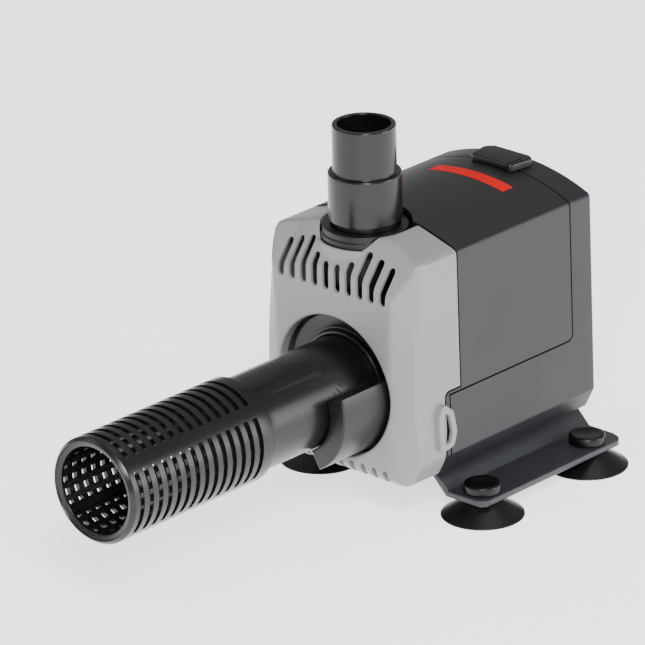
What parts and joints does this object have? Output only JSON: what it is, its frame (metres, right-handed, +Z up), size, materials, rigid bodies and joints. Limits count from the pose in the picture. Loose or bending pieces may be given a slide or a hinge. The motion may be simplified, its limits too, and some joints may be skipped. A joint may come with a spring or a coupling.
{
  "type": "submersible circulation pump",
  "caption": "Compact submersible aquarium pump with a slotted suction strainer in front, a stepped upright hose nozzle and a base plate on suction cups.",
  "frame": {"origin": "on the standing plane, in the middle of the whole pump's width and length", "axes": "+X to the right, +Y from the strainer's mouth towards the motor's rear, +Z up along the hose nozzle"},
  "size_m": [0.1046, 0.2216, 0.139],
  "materials": {
    "cover_grey": "satin moulded silver-grey",
    "hood_black": "fine satin black",
    "shell_grey": "fine matt dark grey",
    "latch_black": "satin black",
    "gland_rubber": "matt black rubber",
    "nozzle_black": "glossy black",
    "seal_rubber": "black rubber",
    "chamber_black": "satin black",
    "regulator_black": "satin black",
    "strainer_black": "satin black",
    "can_black": "satin black",
    "ceramic_white": "polished ceramic",
    "bush_rubber": "black rubber",
    "ferrite": "ground ferrite",
    "impeller_white": "natural white",
    "lamination_steel": "stacked sheets",
    "winding_copper": "enamelled copper wire",
    "resin": "cast black resin",
    "plate_grey": "satin blue-grey",
    "cup_rubber": "soft black rubber"
  },
  "bodies": {
    "pump": {"motor_hood": "hood_black", "rear_shell": "shell_grey", "cable_gland": "gland_rubber", "pump_chamber": "chamber_black", "chamber_seal": "seal_rubber", "rotor_can": "can_black", "rotor_shaft": "ceramic_white", "front_bush": "bush_rubber", "rear_bush": "bush_rubber", "stator_core": "lamination_steel", "coil_right": "winding_copper", "coil_left": "winding_copper", "potting_resin": "resin"},
    "cover": {"front_cover": "cover_grey"},
    "nozzle": {"outlet_nozzle": "nozzle_black", "nozzle_o_ring": "seal_rubber"},
    "rotor": {"impeller": "impeller_white", "rotor_magnet": "ferrite"},
    "regulator": {"intake_regulator": "regulator_black"},
    "strainer": {"suction_strainer": "strainer_black"},
    "latch": {"top_latch": "latch_black"},
    "base": {"base_plate": "plate_grey"},
    "cup_1": {"suction_cup_1": "cup_rubber"},
    "cup_2": {"suction_cup_2": "cup_rubber"},
    "cup_3": {"suction_cup_3": "cup_rubber"},
    "cup_4": {"suction_cup_4": "cup_rubber"}
  },
  "joints": [
    {"name": "rotor_spin", "type": "hinge", "parent": "pump", "child": "rotor", "pos_m": [0, 0.045, 0.0485], "axis": [0, 1, 0], "continuous": true},
    {"name": "cover_slide", "type": "slide", "parent": "pump", "child": "cover", "axis": [0, -1, 0], "range_m": [0, 0.03]},
    {"name": "nozzle_pull", "type": "slide", "parent": "pump", "child": "nozzle", "axis": [0, 0, 1], "range_m": [0, 0.014]},
    {"name": "regulator_turn", "type": "hinge", "parent": "pump", "child": "regulator", "pos_m": [0, 0.016, 0.0485], "axis": [0, 1, 0], "range_deg": [0, 90]},
    {"name": "strainer_pull", "type": "slide", "parent": "regulator", "child": "strainer", "axis": [0, -1, 0], "range_m": [0, 0.02]},
    {"name": "latch_slide", "type": "slide", "parent": "pump", "child": "latch", "axis": [0, 1, 0], "range_m": [0, 0.003]},
    {"name": "base_slide", "type": "slide", "parent": "pump", "child": "base", "axis": [0, 1, 0], "range_m": [0, 0.02]},
    {"name": "cup_turn_1", "type": "hinge", "parent": "base", "child": "cup_1", "pos_m": [0.0377, 0.0405, 0.006], "axis": [0, 0, 1], "continuous": true},
    {"name": "cup_turn_2", "type": "hinge", "parent": "base", "child": "cup_2", "pos_m": [0.0377, 0.0962, 0.006], "axis": [0, 0, 1], "continuous": true},
    {"name": "cup_turn_3", "type": "hinge", "parent": "base", "child": "cup_3", "pos_m": [-0.0377, 0.0405, 0.006], "axis": [0, 0, 1], "continuous": true},
    {"name": "cup_turn_4", "type": "hinge", "parent": "base", "child": "cup_4", "pos_m": [-0.0377, 0.0962, 0.006], "axis": [0, 0, 1], "continuous": true}
  ]
}
